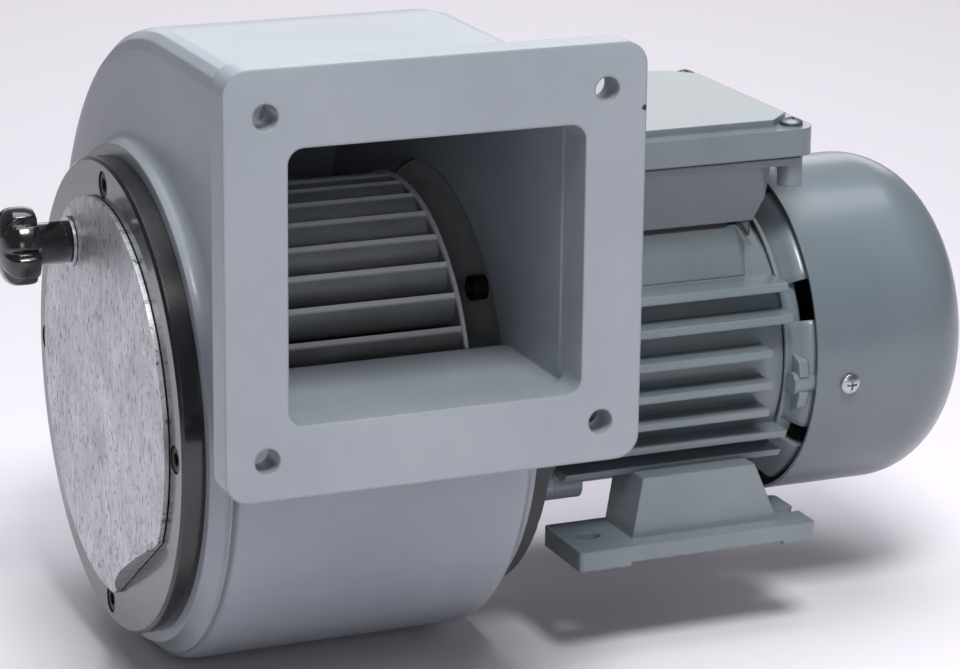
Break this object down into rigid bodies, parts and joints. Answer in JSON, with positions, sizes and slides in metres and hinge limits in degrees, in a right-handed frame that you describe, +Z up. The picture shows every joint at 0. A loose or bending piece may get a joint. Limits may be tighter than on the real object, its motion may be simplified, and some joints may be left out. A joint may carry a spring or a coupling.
{
  "type": "centrifugal blower",
  "caption": "Centrifugal blower: cast scroll casing with square outlet flange, swinging inlet damper and foot-mounted motor on one shaft line.",
  "frame": {"origin": "centre of the motor's four foot holes on the mounting plane", "axes": "+X along the shaft from the inlet towards the motor's fan cover, -Y out of the outlet flange, +Z up"},
  "size_m": [0.3881, 0.271, 0.268],
  "materials": {
    "casing_paint": "light grey semi-gloss paint on cast aluminium",
    "motor_paint": "blue-grey paint on cast aluminium and sheet steel",
    "black_gloss": "gloss black paint on steel",
    "black_screws": "black oxide steel",
    "bright_steel": "zinc-plated or ground steel",
    "damper_sheet": "raw scratched sheet",
    "wheel_sheet": "galvanised sheet",
    "knob_plastic": "gloss black phenolic",
    "black_plastic": "moulded black plastic",
    "black_rubber": "gasket and seal rubber",
    "electric_steel": "varnished lamination stack",
    "copper_wire": null,
    "rotor_cage": "die-cast cage on laminations",
    "brass_parts": "turned brass",
    "lead_sleeve": "insulated lead"
  },
  "bodies": {
    "casing": {"volute_casing": "casing_paint", "inlet_ring": "black_gloss", "inlet_ring_screws": "black_screws", "damper_stud": "bright_steel", "back_plate": "black_gloss", "back_plate_screws": "black_screws", "flange_bolts": "black_screws", "front_shield": "motor_paint", "shaft_seal": "black_rubber", "motor_frame": "motor_paint", "stator_core": "electric_steel", "windings": "copper_wire", "bearing_outers": "bright_steel", "wave_washer": "bright_steel", "rear_shield": "motor_paint", "shield_bolts": "black_screws", "fan_cover": "motor_paint", "cover_screws": "bright_steel", "terminal_box": "motor_paint", "box_gasket": "black_rubber", "box_screws": "bright_steel", "lid_gasket": "black_rubber", "terminal_lid": "motor_paint", "lid_screws": "bright_steel", "terminal_block": "black_plastic", "terminal_studs": "brass_parts", "terminal_links": "brass_parts", "motor_leads": "lead_sleeve", "cable_gland": "black_plastic", "gland_nut": "black_plastic", "earth_screw": "bright_steel"},
    "rotor": {"wheel_disc": "wheel_sheet", "wheel_blades": "wheel_sheet", "wheel_shroud": "wheel_sheet", "wheel_hub": "bright_steel", "wheel_washer": "bright_steel", "wheel_screw": "black_screws", "shaft_key": "bright_steel", "rotor_core": "rotor_cage", "shaft": "bright_steel", "bearing_inners": "bright_steel", "bearing_balls": "bright_steel", "cooling_fan": "black_plastic", "fan_clip": "bright_steel"},
    "damper": {"damper_plate": "damper_sheet"},
    "knob": {"damper_knob": "knob_plastic", "damper_washer": "bright_steel"}
  },
  "joints": [
    {"name": "shaft_spin", "type": "hinge", "parent": "casing", "child": "rotor", "pos_m": [0, 0, 0.071], "axis": [1, 0, 0], "continuous": true},
    {"name": "damper_swing", "type": "hinge", "parent": "casing", "child": "damper", "pos_m": [-0.2283, 0.03728, 0.12424], "axis": [1, 0, 0], "range_deg": [-110, 110]},
    {"name": "knob_turn", "type": "hinge", "parent": "casing", "child": "knob", "pos_m": [-0.24, 0.03728, 0.12424], "axis": [1, 0, 0], "range_deg": [-360, 0]}
  ]
}
